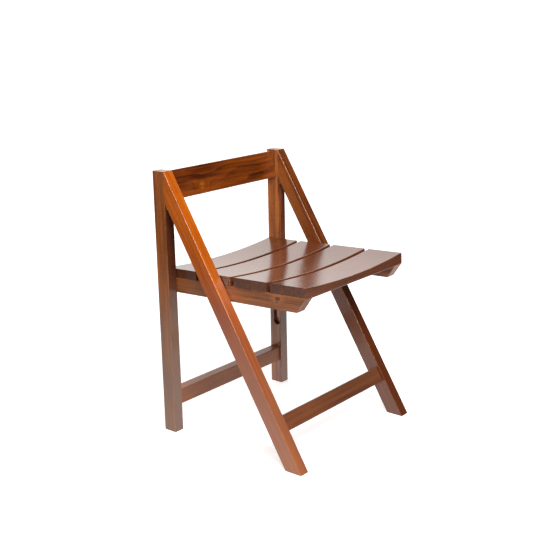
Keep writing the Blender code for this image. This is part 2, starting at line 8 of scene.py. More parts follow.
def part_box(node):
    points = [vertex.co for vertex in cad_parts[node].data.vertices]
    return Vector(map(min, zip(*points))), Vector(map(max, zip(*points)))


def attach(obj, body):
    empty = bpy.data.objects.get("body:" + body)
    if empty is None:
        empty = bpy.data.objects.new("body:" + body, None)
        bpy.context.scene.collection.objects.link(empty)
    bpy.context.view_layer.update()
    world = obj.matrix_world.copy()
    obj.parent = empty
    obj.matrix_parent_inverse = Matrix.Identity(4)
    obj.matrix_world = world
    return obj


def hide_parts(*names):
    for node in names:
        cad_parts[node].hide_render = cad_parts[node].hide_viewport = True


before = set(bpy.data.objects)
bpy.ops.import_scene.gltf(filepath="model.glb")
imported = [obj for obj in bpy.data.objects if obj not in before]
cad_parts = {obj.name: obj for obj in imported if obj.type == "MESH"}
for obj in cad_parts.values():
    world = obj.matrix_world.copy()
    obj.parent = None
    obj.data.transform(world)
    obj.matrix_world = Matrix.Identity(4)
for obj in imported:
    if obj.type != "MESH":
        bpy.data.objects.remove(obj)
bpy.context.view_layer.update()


# ---------------------------------------------------------------- Studio
# The chair stands on a white paper floor in a white room. The wall behind it and the floor are
# bright, the room in front of it is dimmer. Two soft boxes light it from the front, one from above.

CAMERA_BACK = (math.radians(-49.965), math.radians(14.765))   # azimuth and height of the view
CAMERA_ROLL = -0.022
CAMERA_PLACE = Vector((-1.948, -1.572, 1.095))
LENS = 66.98
SENSOR = 36
PURE_WHITE = (1.0, 1.0, 1.0, 1.0)
WARM_WHITE = (1.0, 0.975, 0.945, 1.0)
PAPER_WHITE = (0.92, 0.92, 0.92, 1.0)
PAPER_SIZE = 9.0
# from, to, and the brightness at each end: the glow that lifts the paper to white, the pool of light
# that the chair sees round itself, and the lit paper far behind it
PAPER_GLOW = (0.4, 3.0, 0.55, 1.0)
POOL_LIGHT = (0.25, 2.2, 1.15, 0.06)
PAPER_BEHIND = (1.2, 3.0, 0.0, 1.35)
BEHIND = (0.6, 0.8, 0.0)
# direction, then from, to and the brightness at each end
WALL_LIGHT = ((0.45, 0.89, 0.0), 0.05, 0.72, 0.02, 1.32)
CEILING_LIGHT = ((0.0, 0.2, 1.0), 0.60, 1.0, 0.0, 0.22)
# place, point it looks at, size and power of each soft box
SOFT_BOXES = {
    "key_box": ((-1.00, -1.50, 2.30), (0, 0, 0.45), (0.9, 0.9), 58),
    "strip_box": ((-1.50, -1.73, 1.66), (0, 0, 0.45), (1.5, 0.30), 30),
    "top_box": ((-0.3, 0.3, 2.7), (0, 0, 0.4), (1.4, 1.4), 12),
}


def studio_camera():
    azimuth, height = CAMERA_BACK
    back = Vector((math.sin(azimuth), -math.cos(azimuth), 0)) * math.cos(height)
    back.z = math.sin(height)
    right = Vector((-back.y, back.x, 0)).normalized()
    up = back.cross(right)
    tilt = Matrix((right, up, back)).transposed() @ Matrix.Rotation(CAMERA_ROLL, 3, "Z")
    data = bpy.data.cameras.new("camera")
    data.lens = LENS
    data.sensor_width = SENSOR
    made = bpy.data.objects.new("camera", data)
    made.matrix_world = Matrix.Translation(CAMERA_PLACE) @ tilt.to_4x4()
    bpy.context.scene.collection.objects.link(made)
    bpy.context.scene.camera = made


def studio_floor():
    bm = bmesh.new()
    bmesh.ops.create_circle(bm, cap_ends=True, segments=96, radius=PAPER_SIZE)
    mesh = bpy.data.meshes.new("floor")
    bm.to_mesh(mesh)
    bm.free()
    made = bpy.data.objects.new("floor", mesh)
    bpy.context.scene.collection.objects.link(made)
    paper = bpy.data.materials.new("white_paper")
    paper.use_nodes = True
    nodes, links = paper.node_tree.nodes, paper.node_tree.links
    sheet_of_paper = nodes["Principled BSDF"]
    sheet_of_paper.inputs["Base Color"].default_value = PAPER_WHITE
    sheet_of_paper.inputs["Roughness"].default_value = 0.9
    sheet_of_paper.inputs["Specular IOR Level"].default_value = 0.0
    sheet_of_paper.inputs["Emission Color"].default_value = PURE_WHITE
    place = nodes.new("ShaderNodeTexCoord")
    far = nodes.new("ShaderNodeVectorMath")
    far.operation = "LENGTH"
    links.new(place.outputs["Object"], far.inputs[0])
    behind = nodes.new("ShaderNodeVectorMath")
    behind.operation = "DOT_PRODUCT"
    behind.inputs[1].default_value = BEHIND
    links.new(place.outputs["Object"], behind.inputs[0])
    light = nodes.new("ShaderNodeMath")
    light.operation = "MAXIMUM"
    for slot, value, span in ((0, far.outputs["Value"], POOL_LIGHT),
                              (1, behind.outputs["Value"], PAPER_BEHIND)):
        fall = nodes.new("ShaderNodeMapRange")
        fall.interpolation_type = "SMOOTHSTEP"
        for socket, number in zip(fall.inputs[1:5], span):
            socket.default_value = number
        links.new(value, fall.inputs["Value"])
        links.new(fall.outputs["Result"], light.inputs[slot])
    lift = nodes.new("ShaderNodeMapRange")
    for socket, value in zip(lift.inputs[1:5], PAPER_GLOW):
        socket.default_value = value
    links.new(far.outputs["Value"], lift.inputs["Value"])
    links.new(lift.outputs["Result"], sheet_of_paper.inputs["Emission Strength"])
    pool = nodes.new("ShaderNodeEmission")
    pool.inputs["Color"].default_value = WARM_WHITE
    links.new(light.outputs[0], pool.inputs["Strength"])
    seen = nodes.new("ShaderNodeLightPath")
    mix = nodes.new("ShaderNodeMixShader")
    links.new(seen.outputs["Is Camera Ray"], mix.inputs["Fac"])
    links.new(pool.outputs[0], mix.inputs[1])
    links.new(sheet_of_paper.outputs[0], mix.inputs[2])
    links.new(mix.outputs[0], nodes["Material Output"].inputs["Surface"])
    mesh.materials.append(paper)


def soft_box(name, place, aim, size, power):
    """An oblong soft box that looks at a point."""
    data = bpy.data.lights.new(name, "AREA")
    data.shape = "RECTANGLE"
    data.size, data.size_y = size
    data.energy = power
    made = bpy.data.objects.new(name, data)
    made.location = place
    made.rotation_mode = "QUATERNION"
    made.rotation_quaternion = (Vector(aim) - Vector(place)).to_track_quat("-Z", "Y")
    bpy.context.scene.collection.objects.link(made)


def white_room():
    """White for the eye; the chair sees a bright wall behind it, a dim room in front, a pale ceiling."""
    world = bpy.data.worlds.new("white_room")
    bpy.context.scene.world = world
    world.use_nodes = True
    nodes, links = world.node_tree.nodes, world.node_tree.links
    nodes.clear()
    place = nodes.new("ShaderNodeTexCoord")

    def lobe(direction, start, end, low, high):
        """Brightness that rises toward a direction."""
        toward = nodes.new("ShaderNodeVectorMath")
        toward.operation = "DOT_PRODUCT"
        toward.inputs[1].default_value = Vector(direction).normalized()
        links.new(place.outputs["Generated"], toward.inputs[0])
        rise = nodes.new("ShaderNodeMapRange")
        rise.interpolation_type = "SMOOTHSTEP"
        for socket, value in zip(rise.inputs[1:5], (start, end, low, high)):
            socket.default_value = value
        links.new(toward.outputs["Value"], rise.inputs["Value"])
        return rise.outputs["Result"]

    total = nodes.new("ShaderNodeMath")
    links.new(lobe(*WALL_LIGHT), total.inputs[0])
    links.new(lobe(*CEILING_LIGHT), total.inputs[1])
    room = nodes.new("ShaderNodeBackground")
    links.new(total.outputs[0], room.inputs["Strength"])
    room.inputs["Color"].default_value = WARM_WHITE
    wall = nodes.new("ShaderNodeBackground")
    wall.inputs["Color"].default_value = PURE_WHITE
    seen = nodes.new("ShaderNodeLightPath")
    mix = nodes.new("ShaderNodeMixShader")
    links.new(seen.outputs["Is Camera Ray"], mix.inputs["Fac"])
    links.new(room.outputs[0], mix.inputs[1])
    links.new(wall.outputs[0], mix.inputs[2])
    out = nodes.new("ShaderNodeOutputWorld")
    links.new(mix.outputs[0], out.inputs["Surface"])


studio_camera()
studio_floor()
for name, choices in SOFT_BOXES.items():
    soft_box(name, *choices)
white_room()
bpy.context.scene.view_settings.view_transform = "Standard"


# ---------------------------------------------------------------- Rear posts
# Two upright posts of planed hardwood, stained reddish brown and lacquered. A groove for the seat's
# pins runs down each inner face and ends in a round pocket, and each front face is housed for a hinge.

LONG_EASE = 0.0016           # radius that the plane and sandpaper leave along an edge
END_EASE = 0.0007            # and round a sawn end
PORE_BROWN = (0.018, 0.006, 0.003, 1)
# pale dust low on the chair, also used as a painted reflection of the white floor
DUST_AND_FLOOR_LIGHT = (0.270, 0.140, 0.080, 1)
RUBBED_WOOD = (0.62, 0.42, 0.25, 1)
KNOT_BROWN = (0.022, 0.009, 0.006, 1)
NO_KNOT = (9, 9, 9)          # a knot this far off never touches the board


class Sheet:
    """A node tree under construction: adds nodes and wires them up by name."""

    def __init__(self, tree):
        self.tree = tree
        self.nodes = tree.nodes
        self.links = tree.links

    def wire(self, value, socket):
        if isinstance(value, bpy.types.NodeSocket):
            self.links.new(value, socket)
        else:
            socket.default_value = value

    def node(self, kind, settings=None, **inputs):
        made = self.nodes.new(kind)
        for name, value in (settings or {}).items():
            setattr(made, name, value)
        for name, value in inputs.items():
            self.wire(value, made.inputs[name.replace("_", " ")])
        return made

    def math(self, operation, *values, clamp=False):
        made = self.node("ShaderNodeMath", {"operation": operation, "use_clamp": clamp})
        for value, socket in zip(values, made.inputs):
            self.wire(value, socket)
        return made.outputs[0]

    def vector(self, operation, *values):
        made = self.node("ShaderNodeVectorMath", {"operation": operation})
        for value, socket in zip(values, made.inputs):
            self.wire(value, socket)
        return made.outputs["Value"] if operation in ("LENGTH", "DOT_PRODUCT") else made.outputs[0]

    def noise(self, where, stretch, detail=2.0, rough=0.5):
        """Noise whose grain is stretched by a vector of scales; returns its value."""
        scaled = self.vector("MULTIPLY", where, stretch)
        made = self.node("ShaderNodeTexNoise", Vector=scaled, Scale=1.0, Detail=detail, Roughness=rough)
        return made.outputs["Fac"]

    def remap(self, value, low, high, to_low=0.0, to_high=1.0):
        """Value that passes softly from one level to another between two limits."""
        made = self.node("ShaderNodeMapRange", {"interpolation_type": "SMOOTHSTEP"})
        for socket, given in zip(made.inputs, (value, low, high, to_low, to_high)):
            self.wire(given, socket)
        return made.outputs[0]

    def blend(self, factor, first, second):
        """Mix of two colours."""
        made = self.node("ShaderNodeMix", {"data_type": "RGBA"})
        self.wire(factor, made.inputs["Factor"])
        self.wire(first, made.inputs["A"])
        self.wire(second, made.inputs["B"])
        return made.outputs["Result"]


def group_sheet(name, inputs, outputs):
    """New node group with named sockets; returns its sheet, its inputs and its output node."""
    tree = bpy.data.node_groups.new(name, "ShaderNodeTree")
    for label, kind, default in inputs:
        socket = tree.interface.new_socket(label, in_out="INPUT", socket_type=kind)
        socket.default_value = default
    for label, kind in outputs:
        tree.interface.new_socket(label, in_out="OUTPUT", socket_type=kind)
    sheet = Sheet(tree)
    return sheet, sheet.node("NodeGroupInput").outputs, sheet.node("NodeGroupOutput")


def stained_timber_group():
    """Stained hardwood cut from a log whose pith runs along x, with up to two knots."""
    vector, colour, value = "NodeSocketVector", "NodeSocketColor", "NodeSocketFloat"
    sheet, given, out = group_sheet("stained timber", [
        ("Turn", vector, (0, 0, 0)), ("Log Place", vector, (0, 0.08, 0.03)),
        ("Light", colour, (0.3, 0.1, 0.03, 1)), ("Dark", colour, (0.09, 0.025, 0.01, 1)),
        ("Ring Width", value, 0.0035), ("Figure", value, 1.0), ("Fine Grain", value, 1.0),
        ("Scuffs", value, 1.0), ("Front Stain", value, 0.0), ("Low Stain", value, 0.0),
        ("Heart", colour, KNOT_BROWN), ("Knot", vector, NO_KNOT), ("Knot Size", value, 0.004),
        ("Second Knot", vector, NO_KNOT), ("Second Knot Size", value, 0.004),
    ], [("Color", colour), ("Height", value), ("Roughness", value)])
    here = sheet.node("ShaderNodeTexCoord").outputs

    def along_board(direction):
        """The same vector with its x along the board's grain."""
        turn = {"rotation_type": "EULER_XYZ"}
        return sheet.node("ShaderNodeVectorRotate", turn, Vector=direction, Rotation=given["Turn"]).outputs[0]

    def more(value, pattern, share):
        """Value raised where a pattern is above its middle, and lowered where it is below."""
        return sheet.math("MULTIPLY_ADD", sheet.math("SUBTRACT", pattern, 0.5), share, value)

    log = sheet.vector("ADD", along_board(here["Object"]), given["Log Place"])

    # knots: rings swell round each one, and its heart is dark
    bulge, heart, halo = 0.0, 0.0, 0.0
    wobble = sheet.noise(here["Object"], (160, 160, 160), 2)
    for place, size in (("Knot", "Knot Size"), ("Second Knot", "Second Knot Size")):
        off = along_board(sheet.vector("SUBTRACT", here["Object"], given[place]))
        far = sheet.vector("LENGTH", sheet.vector("MULTIPLY", off, (0.62, 1, 1)))
        far = more(sheet.math("DIVIDE", far, given[size]), wobble, 0.9)
        swell = sheet.math("EXPONENT", sheet.math("MULTIPLY", sheet.math("MULTIPLY", far, far), -0.16))
        swell = sheet.math("MULTIPLY", swell, given[size])
        bulge = sheet.math("MULTIPLY_ADD", swell, 1.6, bulge)
        heart = sheet.math("MAXIMUM", heart, sheet.remap(far, 1.05, 0.45))
        halo = sheet.math("MAXIMUM", halo, sheet.remap(far, 2.9, 0.9))

    # growth rings round the pith, drawn out of true along the board
    drift = sheet.noise(log, (3.2, 14, 14), 2)
    waver = sheet.noise(log, (11, 60, 60), 3)
    radius = sheet.vector("LENGTH", sheet.vector("MULTIPLY", log, (0, 1, 1)))
    radius = sheet.math("MULTIPLY_ADD", drift, 0.030, radius)
    radius = sheet.math("MULTIPLY_ADD", waver, 0.0035, radius)
    radius = sheet.math("ADD", radius, bulge)
    turns = sheet.math("DIVIDE", radius, given["Ring Width"])
    phase = sheet.math("FRACT", turns)
    early = sheet.math("POWER", phase, 2.2)
    late = sheet.remap(phase, 0.90, 1.0)
    ring = sheet.math("SUBTRACT", early, late)
    year = sheet.node("ShaderNodeTexWhiteNoise", {"noise_dimensions": "1D"}, W=sheet.math("FLOOR", turns))
    ring = sheet.math("MULTIPLY", ring, sheet.math("MULTIPLY_ADD", year.outputs["Value"], 0.75, 0.25))

    # streaks, fibres and open pores, all drawn out along the grain
    streak = sheet.noise(log, (5, 120, 120), 3, 0.6)
    fibre = sheet.noise(log, (30, 800, 800), 3, 0.65)
    pores = sheet.remap(sheet.noise(log, (45, 2300, 2300), 1, 0.5), 0.60, 0.76)
    pores = sheet.math("MULTIPLY", pores, given["Fine Grain"])
    patch = sheet.noise(log, (3.5, 9, 9), 2)
    depth = more(more(0.0, streak, 1.5), patch, 1.6)
    depth = more(depth, fibre, sheet.math("MULTIPLY", given["Fine Grain"], 0.45))
    depth = sheet.math("MULTIPLY_ADD", ring, 0.55, depth)
    depth = sheet.math("MULTIPLY_ADD", depth, given["Figure"], 0.40)

    # the stain also soaks into end grain; the front faces are darkened as painted shade, and the wood darkens
    # toward the floor, partly a deeper stain and partly painted shade
    facing = sheet.vector("ABSOLUTE", along_board(here["Normal"]))
    faces = sheet.node("ShaderNodeSeparateXYZ", Vector=facing).outputs
    end = sheet.remap(faces[0], 0.55, 0.9)
    front = sheet.remap(faces[1], 0.55, 0.9)
    up = sheet.node("ShaderNodeSeparateXYZ", Vector=here["Object"]).outputs[2]
    depth = sheet.math("MULTIPLY_ADD", front, given["Front Stain"], depth)
    # darker toward the floor: partly a deeper stain, partly painted shade
    depth = sheet.math("MULTIPLY_ADD", sheet.remap(up, 0.50, 0.12), given["Low Stain"], depth)
    depth = sheet.math("MULTIPLY_ADD", end, 0.20, depth)
    tone = sheet.blend(sheet.math("ADD", depth, 0.0, clamp=True), given["Light"], given["Dark"])
    tone = sheet.blend(sheet.math("MULTIPLY", pores, 0.16), tone, PORE_BROWN)
    tone = sheet.blend(sheet.math("MULTIPLY", halo, 0.5), tone, given["Light"])
    tone = sheet.blend(sheet.math("MULTIPLY", heart, 0.85), tone, given["Heart"])

    # the lacquer is scuffed and dusty toward the floor, and the paler colour there is also a painted
    # reflection of the white floor
    cloud = sheet.noise(here["Object"], (14, 14, 9), 4, 0.6)
    dust_and_floor_light = more(sheet.remap(up, 0.55, 0.0), cloud, 0.5)
    dust_and_floor_light = sheet.math("MULTIPLY", dust_and_floor_light, given["Scuffs"], clamp=True)
    tone = sheet.blend(sheet.math("MULTIPLY", dust_and_floor_light, 0.45), tone, DUST_AND_FLOOR_LIGHT)

    # handling rubs the stain off the rounded edges, whose normals lie between the flat faces
    squarest = sheet.math("MAXIMUM", faces[0], sheet.math("MAXIMUM", faces[1], faces[2]))
    rub = sheet.noise(here["Object"], (38, 38, 38), 4, 0.65)
    edge = sheet.math("MULTIPLY", sheet.remap(squarest, 0.985, 0.90), sheet.remap(rub, 0.44, 0.66))
    tone = sheet.blend(sheet.math("MULTIPLY", edge, 0.35), tone, given["Light"])
    tone = sheet.blend(sheet.math("MULTIPLY", edge, 0.12), tone, RUBBED_WOOD)
    sheet.wire(tone, out.inputs["Color"])

    height = sheet.math("MULTIPLY_ADD", fibre, 0.5, sheet.math("MULTIPLY", streak, 0.6))
    height = sheet.math("MULTIPLY_ADD", pores, -0.5, height)
    height = sheet.math("MULTIPLY_ADD", ring, -0.2, height)
    sheet.wire(height, out.inputs["Height"])
    worn = sheet.noise(here["Object"], (22, 22, 22), 3, 0.6)
    gloss = sheet.remap(worn, 0.35, 0.70, 0.25, 0.31)
    gloss = sheet.math("MULTIPLY_ADD", dust_and_floor_light, 0.12, gloss)
    gloss = sheet.math("MULTIPLY_ADD", end, 0.18, gloss)
    gloss = sheet.math("MULTIPLY_ADD", edge, 0.10, gloss)
    gloss = sheet.math("MULTIPLY_ADD", pores, 0.10, gloss)
    sheet.wire(gloss, out.inputs["Roughness"])
    return sheet.tree


STAINED_TIMBER = stained_timber_group()
UPRIGHT = (0.0, math.pi / 2, 0.0)        # turns a board whose grain runs up the chair


def new_look(name):
    """New surface finish; returns it with its node tree and its surface shader."""
    made = bpy.data.materials.new(name)
    made.use_nodes = True
    return made, Sheet(made.node_tree), made.node_tree.nodes["Principled BSDF"]


def stained_timber(node, turn, in_log, light, dark, satin=0.14, coat=0.6, coat_ior=1.5, sheen=0.5,
                   relief=0.16, **choices):
    """Lacquered timber of one board: its own stain, figure, knots and place in the log."""
    low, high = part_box(node)
    made, sheet, shader = new_look(node + "_timber")
    timber = sheet.node("ShaderNodeGroup", {"node_tree": STAINED_TIMBER})
    middle = Euler(turn, "XYZ").to_matrix() @ ((low + high) / 2)
    chosen = {"Turn": turn, "Log Place": Vector(in_log) - middle, "Light": light, "Dark": dark}
    chosen.update({label.replace("_", " ").title(): value for label, value in choices.items()})
    for label, value in chosen.items():
        timber.inputs[label].default_value = value
    sheet.wire(timber.outputs["Color"], shader.inputs["Base Color"])
    sheet.wire(timber.outputs["Roughness"], shader.inputs["Roughness"])
    shader.inputs["Specular IOR Level"].default_value = sheen
    shader.inputs["Coat Weight"].default_value = coat
    shader.inputs["Coat IOR"].default_value = coat_ior
    shader.inputs["Coat Roughness"].default_value = satin
    bump = sheet.node("ShaderNodeBump", Strength=relief, Distance=0.0002, Height=timber.outputs["Height"])
    sheet.wire(bump.outputs["Normal"], shader.inputs["Normal"])
    return made


def prism(bm, outline, low, high, axis="X"):
    """Straight solid of a flat outline: (y, z) points along X, or (x, z) points along Y."""
    def place(a, b, end):
        return (end, a, b) if axis == "X" else (a, end, b)

    rings = [[bm.verts.new(place(a, b, end)) for a, b in outline] for end in (low, high)]
    faces = [bm.faces.new(ring) for ring in rings]
    for i in range(len(outline)):
        j = (i + 1) % len(outline)
        faces.append(bm.faces.new((rings[0][i], rings[0][j], rings[1][j], rings[1][i])))
    bmesh.ops.recalc_face_normals(bm, faces=faces)


def round_off(bm, wanted, radius, segments=4):
    """Round the edges that a test picks."""
    bm.normal_update()
    picked = [edge for edge in bm.edges if edge.calc_face_angle(0) > math.radians(20) and wanted(edge)]
    bmesh.ops.bevel(bm, geom=picked, offset=radius, segments=segments, profile=0.5, affect="EDGES")


def runs_along(direction):
    """Test for edges that run along a direction."""
    direction = Vector(direction).normalized()

    def wanted(edge):
        run = (edge.verts[0].co - edge.verts[1].co).normalized()
        return abs(run.dot(direction)) > 0.985
    return wanted


def runs_across(direction):
    """Test for edges of the sawn ends, which run across a direction."""
    direction = Vector(direction).normalized()

    def wanted(edge):
        run = (edge.verts[0].co - edge.verts[1].co).normalized()
        return abs(run.dot(direction)) < 0.9
    return wanted


def piece(name, bm, look, body, nodes):
    """Make the shown piece, which rides on a body and stands for its CAD nodes."""
    mesh = bpy.data.meshes.new(name)
    bm.to_mesh(mesh)
    bm.free()
    mesh.shade_smooth()
    mesh.set_sharp_from_angle(angle=math.radians(32))
    mesh.materials.append(look)
    made = bpy.data.objects.new(name, mesh)
    bpy.context.scene.collection.objects.link(made)
    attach(made, body)
    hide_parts(*nodes)
    return made


def cut(target, shape, *sizes, operation="DIFFERENCE", place=Matrix(), **choices):
    """Cut a piece with a tool of some shape, or join the tool to it, then throw the tool away."""
    bm = bmesh.new()
    shape(bm, *sizes, **choices)
    bm.transform(place)
    mesh = bpy.data.meshes.new("tool")
    bm.to_mesh(mesh)
    bm.free()
    tool = bpy.data.objects.new("tool", mesh)
    bpy.context.scene.collection.objects.link(tool)
    modifier = target.modifiers.new("cut", "BOOLEAN")
    modifier.operation = operation
    modifier.solver = "EXACT"
    modifier.object = tool
    graph = bpy.context.evaluated_depsgraph_get()
    made = bpy.data.meshes.new_from_object(target.evaluated_get(graph))
    target.modifiers.remove(modifier)
    target.data = made
    bpy.data.objects.remove(tool, do_unlink=True)


def even_faces(made):
    """Keep flat faces flat to the eye next to their rounded edges."""
    modifier = made.modifiers.new("even_faces", "WEIGHTED_NORMAL")
    modifier.mode = "FACE_AREA"
    modifier.weight = 100
    modifier.keep_sharp = True


def block(y_low, y_high, z_low, z_high):
    """Oblong outline, as (y, z) points."""
    return [(y_low, z_low), (y_high, z_low), (y_high, z_high), (y_low, z_high)]


def stadium(y, z_low, z_high, radius, steps=12):
    """Upright slot with half-round ends, as (y, z) points."""
    points = []
    for z, start in ((z_high, 0.0), (z_low, math.pi)):
        for i in range(steps + 1):
            angle = start + math.pi * i / steps
            points.append((y + radius * math.cos(angle), z + radius * math.sin(angle)))
    return points


def grown_box(bm, corners, by):
    """Solid of a box, grown all round."""
    low, high = corners
    prism(bm, block(low.y - by, high.y + by, low.z - by, high.z + by), low.x - by, high.x + by)


def inner_face(side, low, high):
    """Way out from the middle of the chair, and the x of a part's inner face."""
    return (-1, high.x) if side == "right" else (1, low.x)


FIT = 0.0003                 # clearance between parts that are let into each other
BREAK_OUT = 0.002            # how far a cutting tool starts outside the face
GROOVE_DEPTH = 0.010
GROOVE_PLAY = 0.0006
GUIDE_TRAVEL = 0.2062
POCKET_BACK = 0.014          # behind the post's front face
POCKET_HEIGHT = 0.1925
POCKET_RADIUS = 0.0125
CHESTNUT = (0.440, 0.120, 0.016, 1)
CHESTNUT_BROWN = (0.110, 0.020, 0.002, 1)
DARK_RUSSET = (0.060, 0.013, 0.004, 1)
HONEY = (0.680, 0.210, 0.050, 1)


def rear_post(side, in_log, **choices):
    node = "rear_post_" + side
    low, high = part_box(node)
    out, inner = inner_face(side, low, high)
    bm = bmesh.new()
    prism(bm, block(low.y, high.y, low.z, high.z), low.x, high.x)
    round_off(bm, runs_along((0, 0, 1)), LONG_EASE)
    round_off(bm, runs_across((0, 0, 1)), END_EASE, 2)
    post = piece("post_" + side, bm, stained_timber(node, UPRIGHT, in_log, **choices), "rear_frame", [node])

    pin_low, pin_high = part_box("guide_pin_" + side)
    pin = (pin_low + pin_high) / 2
    radius = (pin_high.z - pin_low.z) / 2 + GROOVE_PLAY
    floor = sorted((inner - out * BREAK_OUT, inner + out * GROOVE_DEPTH))
    cut(post, prism, stadium(pin.y, pin.z - GUIDE_TRAVEL, pin.z, radius), *floor)
    cut(post, prism, stadium(low.y + POCKET_BACK, POCKET_HEIGHT, POCKET_HEIGHT, POCKET_RADIUS), *floor)
    cut(post, grown_box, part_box("hinge_post_leaf_" + side), FIT)
    even_faces(post)


rear_post("right", (0.35, 0.085, 0.030), light=CHESTNUT, dark=DARK_RUSSET, scuffs=1.9, front_stain=1.0)
rear_post("left", (0.70, 0.060, -0.045), light=HONEY, dark=CHESTNUT_BROWN, scuffs=0.5, front_stain=0.5,
          low_stain=0.4)


# ---------------------------------------------------------------- Backrest board
# One thin board that leans back between the posts. Its corners and edges are well rounded, also
# where they meet the posts, and a pale knot shows low on the sitter's right.

BACK_TILT = math.radians(15.0)
BACK_THICK = 0.017
BACK_HEIGHT = 0.0755
BACK_CORNER = 0.0045
BACK_EASE = 0.0030
RED_BROWN = (0.290, 0.060, 0.003, 1)
DEEP_BROWN = (0.060, 0.009, 0.001, 1)
PALE_KNOT = (0.30, 0.095, 0.010, 1)


def bar(thick, tall, lean, node):
    """Bar from post to post, made upright; returns it with the move that leans it in its place."""
    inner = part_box("rear_post_left")[0].x - FIT
    low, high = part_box(node)
    bm = bmesh.new()
    prism(bm, block(-thick / 2, thick / 2, -tall / 2, tall / 2), -inner, inner)
    place = Matrix.Translation((0, (low.y + high.y) / 2, (low.z + high.z) / 2))
    return bm, place @ Matrix.Rotation(-lean, 4, "X")


def any_edge(edge):
    """Test that takes every crisp edge."""
    return True


def backrest():
    node = "backrest_board"
    bm, place = bar(BACK_THICK, BACK_HEIGHT, BACK_TILT, node)
    round_off(bm, runs_along((0, 1, 0)), BACK_CORNER, 6)
    round_off(bm, any_edge, BACK_EASE, 5)
    bm.transform(place)
    look = stained_timber(node, (BACK_TILT, 0, 0), (0.2, 0.090, 0.012), light=RED_BROWN, dark=DEEP_BROWN,
                          figure=1.2, ring_width=0.0060, fine_grain=0.6, heart=PALE_KNOT,
                          knot=(-0.0915, 0.2005, 0.6475), knot_size=0.0060,
                          second_knot=(-0.0935, 0.1990, 0.6370), second_knot_size=0.0042)
    even_faces(piece("backrest", bm, look, "rear_frame", [node]))


backrest()


# ---------------------------------------------------------------- Rear stretcher
# A plain bar on edge between the rear posts, tenoned into them low down. Its long edges are eased,
# and it is stained like the posts but left dull.

def stretcher(place, body, lean, thick, tall, in_log, **choices):
    """Plain bar between two uprights, leaning with them."""
    node = place + "_stretcher"
    bm, leaning = bar(thick, tall, lean, node)
    round_off(bm, runs_along((1, 0, 0)), LONG_EASE)
    round_off(bm, runs_across((1, 0, 0)), END_EASE, 2)
    bm.transform(leaning)
    look = stained_timber(node, (lean, 0, 0), in_log, **choices)
    even_faces(piece("stretcher_" + place, bm, look, body, [node]))


low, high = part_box("rear_stretcher")
stretcher("rear", "rear_frame", 0.0, high.y - low.y, high.z - low.z, (0.4, 0.070, 0.030), light=RED_BROWN,
          dark=DARK_RUSSET, scuffs=0.7, satin=0.35, coat=0.0, sheen=0.35)


# ---------------------------------------------------------------- Front legs
# Two sloping legs, sawn level at the foot and upright at the top, where they bear on the posts.
# Each is housed there for its hinge leaf and bored on the inside for the seat's pivot insert.

LEG_DEPTH = 0.042
post_low, post_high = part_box("rear_post_left")
foot_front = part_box("front_leg_left")[0].y
LEG_SLOPE = math.atan2(post_low.y - foot_front, post_high.z)
UP_THE_LEG = Vector((0, math.sin(LEG_SLOPE), math.cos(LEG_SLOPE)))
LEG_TURN = (LEG_SLOPE, math.pi / 2, 0.0)
AMBER = (0.610, 0.135, 0.003, 1)
AMBER_BROWN = (0.300, 0.048, 0.001, 1)


def front_leg(side, in_log, **choices):
    node = "front_leg_" + side
    low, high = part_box(node)
    out, inner = inner_face(side, low, high)
    run = LEG_DEPTH / math.cos(LEG_SLOPE)
    rise = (high.y - low.y) / math.tan(LEG_SLOPE)
    drop = run / math.tan(LEG_SLOPE)
    outline = [(low.y, 0.0), (low.y + run, 0.0), (high.y, rise - drop), (high.y, rise)]
    bm = bmesh.new()
    prism(bm, outline, low.x, high.x)
    round_off(bm, runs_along(UP_THE_LEG), LONG_EASE)
    round_off(bm, runs_across(UP_THE_LEG), END_EASE, 2)
    leg = piece("leg_" + side, bm, stained_timber(node, LEG_TURN, in_log, **choices), "front_frame", [node])
    cut(leg, grown_box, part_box("hinge_leg_leaf_" + side), FIT)
    insert_low, insert_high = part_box("pivot_insert_" + side)
    middle = (insert_low + insert_high) / 2
    radius = (insert_high.z - insert_low.z) / 2 + FIT
    depth = (insert_high.x - insert_low.x) / 2 + FIT
    floor = sorted((inner - out * BREAK_OUT, middle.x + out * depth))
    cut(leg, prism, stadium(middle.y, middle.z, middle.z, radius), *floor)
    even_faces(leg)


front_leg("right", (0.10, 0.070, 0.040), light=AMBER, dark=AMBER_BROWN, scuffs=1.2, low_stain=0.35)
front_leg("left", (0.90, 0.055, -0.050), light=CHESTNUT, dark=CHESTNUT_BROWN, front_stain=0.4, scuffs=0.1,
          low_stain=0.7, knot=(0.211, 0.177, 0.617), knot_size=0.0026)


# ---------------------------------------------------------------- Front stretcher
# A second bar between the front legs, turned square to their slope and set a little behind their
# faces. It is tenoned into them like the rear one.

FRONT_BAR_THICK = 0.030
FRONT_BAR_TALL = 0.0415
RUSSET = (0.195, 0.053, 0.016, 1)

stretcher("front", "front_frame", LEG_SLOPE, FRONT_BAR_THICK, FRONT_BAR_TALL, (1.3, 0.060, 0.045),
          light=RUSSET, dark=DARK_RUSSET, scuffs=0.35, figure=1.3)


# ---------------------------------------------------------------- Butt hinges
# Small brass butt hinges: two leaves let into post and leg, three knuckles in the wedge just under
# their contact, a pin through the knuckles, and two countersunk screws in each leaf.

YELLOW_BRASS = (0.76, 0.50, 0.20, 1)
TARNISH = (0.30, 0.15, 0.06, 1)
BRIGHT_BRASS = (0.95, 0.74, 0.40, 1)


